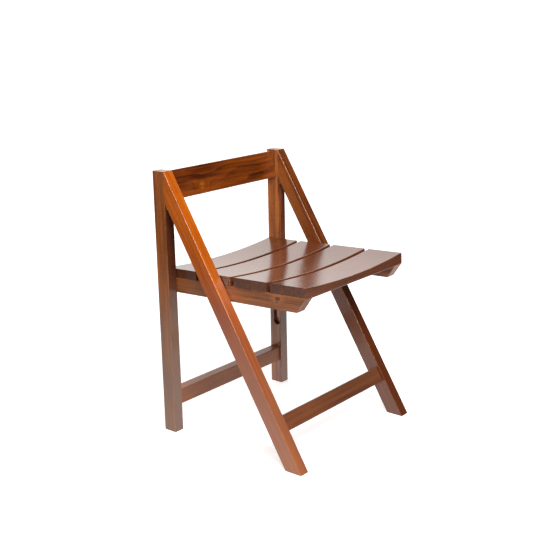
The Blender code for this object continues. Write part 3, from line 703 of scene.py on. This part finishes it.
def dulled_brass():
    """Drawn brass that has dulled: fine draw lines, brown tarnish in patches."""
    made, sheet, shader = new_look("dulled_brass")
    here = sheet.node("ShaderNodeTexCoord").outputs["Object"]
    lines = sheet.noise(here, (120, 2600, 2600), 3)
    tarnish = sheet.remap(sheet.noise(here, (190, 190, 190), 4, 0.6), 0.42, 0.68)
    tone = sheet.blend(sheet.math("MULTIPLY", tarnish, 0.7), YELLOW_BRASS, TARNISH)
    tone = sheet.blend(sheet.math("MULTIPLY", lines, 0.25), tone, BRIGHT_BRASS)
    sheet.wire(tone, shader.inputs["Base Color"])
    sheet.wire(sheet.math("MULTIPLY_ADD", tarnish, 0.25, 0.24), shader.inputs["Roughness"])
    shader.inputs["Metallic"].default_value = 1.0
    bump = sheet.node("ShaderNodeBump", Strength=0.25, Distance=0.0001, Height=lines)
    sheet.wire(bump.outputs["Normal"], shader.inputs["Normal"])
    return made


BRASS = dulled_brass()
KNUCKLES = (-0.0125, -0.0045, 0.0045, 0.0125)   # where the knuckles start and end along the pin
KNUCKLE_RADIUS = 0.003
KNUCKLE_EASE = 0.0002
PIN_RADIUS = 0.0015
PIN_DRILL = 0.05                         # length of the drill that bores all the knuckles
PIN_BEVEL = (0.0001, 0.0004)
LEAF_THICK = 0.0015
LEAF_EASE = 0.0003
# for each leaf: its foot above the pin's axis, the web to the knuckles, and the way its screws go in
LEAF_FOOT = {"post": -0.002, "leg": 0.0038}
LEAF_WEB = {"post": (-0.0018, 0.0026), "leg": (0.0008, 0.006)}
WEB_SET_BACK = (0.0005, 0.0003)          # behind the pin's axis, and inside the leaf's back
INTO_WOOD = {"post": 1, "leg": -1}
SINK = [(0.0031, -0.0003), (0.0031, 0), (0.0016, 0.0014), (0.0016, 0.004)]
SCREW_HEAD = [(0.0027, 0), (0.0028, 0.0001), (0.0013, 0.0014)]
SCREW_TIP = 0.0003
SCREW_ROOT, SCREW_CREST = 0.0010, 0.0013
SCREW_PITCH = 0.0008
SCREW_SHANK = 0.0022                     # plain length under the head, and at the tip
SLOT_DEPTH = 0.0006
SLOT_OUTSIDE = 0.0005
SLOT_HALF_WIDTH = 0.0004
SLOT_HALF_LENGTH = 0.004
SLOT_TURN = 0.5
SLOT_TURN_BY_PLACE = 8.0                 # each slot stopped at an angle of its own


def turned(bm, profile, start, direction, sides=32, ring=False):
    """Turned solid of (radius, distance) points along a direction; ring joins last to first."""
    turn = Vector(direction).to_track_quat("Z", "Y").to_matrix()
    hoops = []
    for radius, along in profile:
        hoop = []
        for i in range(sides):
            angle = 2 * math.pi * i / sides
            local = Vector((radius * math.cos(angle), radius * math.sin(angle), along))
            hoop.append(bm.verts.new(Vector(start) + turn @ local))
        hoops.append(hoop)
    faces = []
    pairs = list(zip(hoops, hoops[1:]))
    if ring:
        pairs.append((hoops[-1], hoops[0]))
    else:
        faces += [bm.faces.new(hoops[0]), bm.faces.new(hoops[-1])]
    for lower, upper in pairs:
        for i in range(sides):
            j = (i + 1) % sides
            faces.append(bm.faces.new((lower[i], lower[j], upper[j], upper[i])))
    bmesh.ops.recalc_face_normals(bm, faces=faces)


def screw_thread(start, end, pitch, root, crest):
    """Profile of a thread from start to end, as grooves that run round the shank."""
    profile = []
    along = start
    while along < end:
        profile += [(root, along), (crest, along + pitch / 2)]
        along += pitch
    return profile


def smooth_turning(made):
    """Smooth the turned faces again after cutting, and keep their edges crisp."""
    made.data.shade_smooth()
    made.data.set_sharp_from_angle(angle=math.radians(32))


def hinge_leaf(role, side, body, spans):
    """Leaf with knuckles on some spans, bored for the pin and countersunk for two screws."""
    node = "hinge_" + role + "_leaf_" + side
    low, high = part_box(node)
    pin_low, pin_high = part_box("hinge_pin_" + side)
    pin = (pin_low + pin_high) / 2
    front, back = high.y - LEAF_THICK, high.y
    bm = bmesh.new()
    prism(bm, block(front, back, pin.z + LEAF_FOOT[role], high.z), low.x, high.x)
    round_off(bm, any_edge, LEAF_EASE, 2)
    leaf = piece(node.replace("hinge", "brass"), bm, BRASS, body, [node])
    web_low, web_high = LEAF_WEB[role]
    web = block(pin.y + WEB_SET_BACK[0], back - WEB_SET_BACK[1], pin.z + web_low, pin.z + web_high)
    for start, end in spans:
        cut(leaf, prism, web, pin.x + start, pin.x + end, operation="UNION")
        length = end - start
        profile = [(KNUCKLE_RADIUS - KNUCKLE_EASE, 0), (KNUCKLE_RADIUS, KNUCKLE_EASE),
                   (KNUCKLE_RADIUS, length - KNUCKLE_EASE), (KNUCKLE_RADIUS - KNUCKLE_EASE, length)]
        cut(leaf, turned, profile, (pin.x + start, pin.y, pin.z), (1, 0, 0), operation="UNION")
    drill = [(PIN_RADIUS, 0), (PIN_RADIUS, PIN_DRILL)]
    cut(leaf, turned, drill, (pin.x - PIN_DRILL / 2, pin.y, pin.z), (1, 0, 0))
    face = front if role == "post" else back
    for order in ("lower", "upper"):
        screw_low, screw_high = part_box("_".join((role, "screw", side, order)))
        head = (screw_low + screw_high) / 2
        cut(leaf, turned, SINK, (head.x, face, head.z), (0, INTO_WOOD[role], 0))
    smooth_turning(leaf)


def hinge_screw(role, side, order, body):
    """Countersunk wood screw with a straight slot."""
    node = "_".join((role, "screw", side, order))
    low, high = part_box(node)
    middle = (low + high) / 2
    length = high.y - low.y
    into = INTO_WOOD[role]
    face = low.y if role == "post" else high.y
    thread = screw_thread(SCREW_SHANK, length - SCREW_SHANK, SCREW_PITCH, SCREW_ROOT, SCREW_CREST)
    bm = bmesh.new()
    profile = SCREW_HEAD + thread + [(SCREW_TIP, length)]
    turned(bm, profile, (middle.x, face, middle.z), (0, into, 0), sides=20)
    screw = piece(node.replace("screw", "woodscrew"), bm, BRASS, body, [node])
    slot = sorted((face - into * SLOT_OUTSIDE, face + into * SLOT_DEPTH))
    outline = block(*slot, middle.z - SLOT_HALF_WIDTH, middle.z + SLOT_HALF_WIDTH)
    turn = Matrix.Rotation(SLOT_TURN + SLOT_TURN_BY_PLACE * middle.x, 4, "Y")
    cut(screw, prism, outline, middle.x - SLOT_HALF_LENGTH, middle.x + SLOT_HALF_LENGTH,
        place=Matrix.Translation(middle) @ turn @ Matrix.Translation(-middle))
    smooth_turning(screw)


def hinge_pin(side):
    """Pin with lightly rounded ends."""
    node = "hinge_pin_" + side
    low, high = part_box(node)
    length = high.x - low.x
    radius = (high.z - low.z) / 2
    tip, shoulder = PIN_BEVEL
    end = [(radius * 0.5, 0), (radius * 0.85, tip), (radius, shoulder)]
    bm = bmesh.new()
    profile = end + [(reach, length - along) for reach, along in reversed(end)]
    turned(bm, profile, (low.x, (low.y + high.y) / 2, (low.z + high.z) / 2), (1, 0, 0), sides=24)
    piece("brass_pin_" + side, bm, BRASS, "rear_frame", [node])


first, second, third, last = KNUCKLES
for side in ("right", "left"):
    hinge_leaf("post", side, "rear_frame", [(first, second - FIT), (third + FIT, last)])
    hinge_leaf("leg", side, "front_frame", [(second + FIT, third - FIT)])
    hinge_pin(side)
    for order in ("lower", "upper"):
        hinge_screw("post", side, order, "rear_frame")
        hinge_screw("leg", side, order, "front_frame")


# ---------------------------------------------------------------- Seat rails
# Two rails on edge carry the slats. Their front ends are cut back underneath, and each is bored
# across for the pivot bolt.

SEAT_TILT = math.radians(2.25)
SEAT_FRONT = (0, -0.2234, 0.4607)        # top front edge, at the ends of the front slat
SEAT_TOP = Matrix.Translation(SEAT_FRONT) @ Matrix.Rotation(-SEAT_TILT, 4, "X")
SEAT_LENGTH = 0.4525
STOCK = 0.030
REBATE = 0.006
RAIL_DEPTH = 0.0395
RAIL_NOSE = 0.0045
RAIL_CUT_BACK = 0.0265                   # the rail's front is cut back this far underneath
RAIL_EASE = 0.0014
RAIL_TURN = (SEAT_TILT, 0.0, -math.pi / 2)
BOLT_BORE = 0.0043
FOX_BROWN = (0.440, 0.135, 0.032, 1)


def seat_rail(side, in_log, **choices):
    node = "seat_rail_" + side
    low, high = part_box(node)
    top = -STOCK + REBATE
    bottom = top - RAIL_DEPTH
    outline = [(0, top), (0, top - RAIL_NOSE), (RAIL_CUT_BACK, bottom), (SEAT_LENGTH, bottom),
               (SEAT_LENGTH, top)]
    nose_cut = (0, RAIL_CUT_BACK, bottom - (top - RAIL_NOSE))

    def long_edge(edge):
        return runs_along((0, 1, 0))(edge) or runs_along(nose_cut)(edge)

    bm = bmesh.new()
    prism(bm, outline, low.x, high.x)
    round_off(bm, long_edge, RAIL_EASE)
    round_off(bm, runs_along((1, 0, 0)), END_EASE, 2)
    bm.transform(SEAT_TOP)
    rail = piece("rail_" + side, bm, stained_timber(node, RAIL_TURN, in_log, **choices), "seat", [node])
    bolt_low, bolt_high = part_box("pivot_bolt_" + side)
    middle = (bolt_low + bolt_high) / 2
    bore = stadium(middle.y, middle.z, middle.z, BOLT_BORE)
    cut(rail, prism, bore, low.x - BREAK_OUT, high.x + BREAK_OUT)
    even_faces(rail)


seat_rail("right", (0.20, 0.030, 0.075), light=FOX_BROWN, dark=DARK_RUSSET,
          knot=(-0.208, -0.1418, 0.4215), knot_size=0.0062,
          second_knot=(-0.208, -0.1395, 0.4125), second_knot_size=0.0030)
seat_rail("left", (1.10, -0.045, 0.060), light=AMBER, dark=CHESTNUT_BROWN)


# ---------------------------------------------------------------- Seat slats
# Four boards across the rails, dished along their length for the sitter, rebated over the rails and
# eased along their edges. They are stained darker and lacquered to a satin gloss.

SEAT_DISH = 0.0118
SLAT_SPACE = 0.0113
SLAT_EASE = 0.0022
UMBER = (0.185, 0.049, 0.016, 1)
DARK_UMBER = (0.066, 0.016, 0.005, 1)


def dished_top(half, steps=48):
    """Dished top of a slat, an arc from the left end to the right end."""
    radius = (half ** 2 + SEAT_DISH ** 2) / (2 * SEAT_DISH)
    swing = math.asin(half / radius)
    points = []
    for i in range(steps + 1):
        angle = swing * (1 - 2 * i / steps)
        points.append((radius * math.sin(angle), radius * (math.cos(swing) - math.cos(angle))))
    return points


def seat_slat(order, index, in_log, **choices):
    node = "seat_slat_" + order
    low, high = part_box(node)
    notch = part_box("seat_rail_left")[0].x - FIT
    half = high.x
    width = (SEAT_LENGTH - 3 * SLAT_SPACE) / 4
    start = index * (width + SLAT_SPACE)
    step = -STOCK + REBATE + FIT
    outline = dished_top(half)
    outline += [(-half, step), (-notch, step), (-notch, -STOCK), (notch, -STOCK), (notch, step), (half, step)]
    bm = bmesh.new()
    prism(bm, outline, start, start + width, axis="Y")

    def at_side(edge):
        """Long edges of the front and rear sides, top and bottom, but not those of the rebate."""
        run = edge.verts[0].co - edge.verts[1].co
        return abs(run.y) < 1e-5 and abs(run.x) > 1e-4 and abs(edge.verts[0].co.z - step) > 1e-4

    round_off(bm, at_side, SLAT_EASE)
    bm.transform(SEAT_TOP)
    look = stained_timber(node, (SEAT_TILT, 0, 0), in_log, light=UMBER, dark=DARK_UMBER, satin=0.20,
                          coat=1.0, coat_ior=1.98, sheen=0.0, relief=0.02, scuffs=0.0, figure=0.8,
                          fine_grain=0.4, **choices)
    even_faces(piece("slat_" + order, bm, look, "seat", [node]))


seat_slat("front", 0, (0.3, 0.020, 0.080))
seat_slat("second", 1, (0.8, -0.030, 0.095), knot=(-0.1355, -0.0404, 0.4488), knot_size=0.0018)
seat_slat("third", 2, (1.6, 0.010, 0.070))
seat_slat("rear", 3, (2.3, 0.035, 0.090))


# ---------------------------------------------------------------- Pivots and guide pins
# Zinc-plated bolts with low domed heads pass through the rails into brass inserts in the legs, with
# a brass spacer between. Steel pins at the back of the rails run in the grooves of the posts.

PALE_ZINC = (0.62, 0.61, 0.58, 1)
GREY_ZINC = (0.40, 0.40, 0.41, 1)
PALE_DOWEL = (0.62, 0.45, 0.27, 1)
DARK_DOWEL = (0.42, 0.27, 0.14, 1)


def plated_steel():
    """Zinc-plated steel: pale, faintly mottled, with fine turning marks."""
    made, sheet, shader = new_look("zinc_plated_steel")
    here = sheet.node("ShaderNodeTexCoord").outputs["Object"]
    marks = sheet.noise(here, (1500, 200, 200), 3)
    mottle = sheet.remap(sheet.noise(here, (260, 260, 260), 4, 0.6), 0.35, 0.70)
    sheet.wire(sheet.blend(mottle, PALE_ZINC, GREY_ZINC), shader.inputs["Base Color"])
    sheet.wire(sheet.math("MULTIPLY_ADD", mottle, 0.18, 0.24), shader.inputs["Roughness"])
    shader.inputs["Metallic"].default_value = 1.0
    bump = sheet.node("ShaderNodeBump", Strength=0.2, Distance=0.0001, Height=marks)
    sheet.wire(bump.outputs["Normal"], shader.inputs["Normal"])
    return made


def turned_wood():
    """Bare turned hardwood of the dowels, with fibres along them."""
    made, sheet, shader = new_look("dowel_wood")
    here = sheet.node("ShaderNodeTexCoord").outputs["Object"]
    fibre = sheet.noise(here, (900, 900, 60), 3, 0.6)
    sheet.wire(sheet.blend(fibre, PALE_DOWEL, DARK_DOWEL), shader.inputs["Base Color"])
    sheet.wire(sheet.math("MULTIPLY_ADD", fibre, 0.2, 0.5), shader.inputs["Roughness"])
    bump = sheet.node("ShaderNodeBump", Strength=0.3, Distance=0.0002, Height=fibre)
    sheet.wire(bump.outputs["Normal"], shader.inputs["Normal"])
    return made


STEEL = plated_steel()
DOWEL_WOOD = turned_wood()
DOME = 0.0035                            # height of the bolt's head
DOME_FULLNESS = 0.85
BOLT_NECK = 0.0042
BOLT_ROOT, BOLT_CREST = 0.0034, 0.0039
BOLT_PITCH = 0.00125
BOLT_THREAD = 0.0155                     # threaded length at the bolt's end
BOLT_END = 0.0028
BOLT_TIP = 0.002
SOCKET_RADIUS = 0.0027
SOCKET_DEPTH = 0.0022
SOCKET_OUTSIDE = 0.001
RING_EASE = 0.0004
PIN_NOSE = 0.0018


def inner_end(side, low, high):
    """Middle of the inner end of a part that lies along x, and the way it points."""
    out, inner = inner_face(side, low, high)
    return Vector((inner, (low.y + high.y) / 2, (low.z + high.z) / 2)), Vector((out, 0, 0))


def pivot_bolt(side):
    """Domed bolt with a hexagon socket."""
    node = "pivot_bolt_" + side
    low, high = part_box(node)
    start, outward = inner_end(side, low, high)
    head = (high.z - low.z) / 2
    length = high.x - low.x
    profile = []
    for step in range(11):
        angle = math.radians(20 + 7 * step)
        profile.append((head * math.sin(angle), DOME * DOME_FULLNESS * (1 - math.cos(angle))))
    profile += [(head, DOME), (BOLT_NECK, DOME), (BOLT_CREST, DOME + RING_EASE)]
    profile += screw_thread(length - BOLT_THREAD, length - BOLT_TIP, BOLT_PITCH, BOLT_ROOT, BOLT_CREST)
    profile.append((BOLT_END, length))
    bm = bmesh.new()
    turned(bm, profile, start, outward)
    bolt = piece("bolt_" + side, bm, STEEL, "front_frame", [node])
    socket = [(SOCKET_RADIUS, 0), (SOCKET_RADIUS, SOCKET_OUTSIDE + SOCKET_DEPTH)]
    cut(bolt, turned, socket, start - SOCKET_OUTSIDE * outward, outward, sides=6)
    smooth_turning(bolt)


def ring_piece(name, node, look):
    """Round ring with eased edges, bored for the bolt."""
    low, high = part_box(node)
    radius = (high.z - low.z) / 2
    thick = high.x - low.x
    half = [(BOLT_BORE, RING_EASE), (BOLT_BORE + RING_EASE, 0), (radius - RING_EASE, 0), (radius, RING_EASE)]
    profile = half + [(reach, thick - along) for reach, along in reversed(half)]
    bm = bmesh.new()
    turned(bm, profile, (low.x, (low.y + high.y) / 2, (low.z + high.z) / 2), (1, 0, 0), sides=40, ring=True)
    piece(name, bm, look, "front_frame", [node])


def guide_pin(side):
    """Round pin with a rounded nose in the groove."""
    node = "guide_pin_" + side
    low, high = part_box(node)
    start, outward = inner_end(side, low, high)
    radius = (high.z - low.z) / 2
    length = high.x - low.x
    profile = [(radius, 0)]
    for step in range(7):
        angle = math.radians(15 * step)
        profile.append((radius - PIN_NOSE * (1 - math.cos(angle)), length - PIN_NOSE * (1 - math.sin(angle))))
    bm = bmesh.new()
    turned(bm, profile, start, outward)
    piece("steel_guide_" + side, bm, STEEL, "guide_pins", [node])


for side in ("right", "left"):
    pivot_bolt(side)
    ring_piece("insert_" + side, "pivot_insert_" + side, BRASS)
    ring_piece("spacer_" + side, "pivot_washer_" + side, BRASS)
    guide_pin(side)
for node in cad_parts:
    if node.startswith("slat_dowel"):
        dowel = bpy.data.objects[node]
        dowel.data.materials.clear()
        dowel.data.materials.append(DOWEL_WOOD)


# ---------------------------------------------------------------- The finished chair
# Every part stands in its place in the open chair.

bpy.context.view_layer.update()
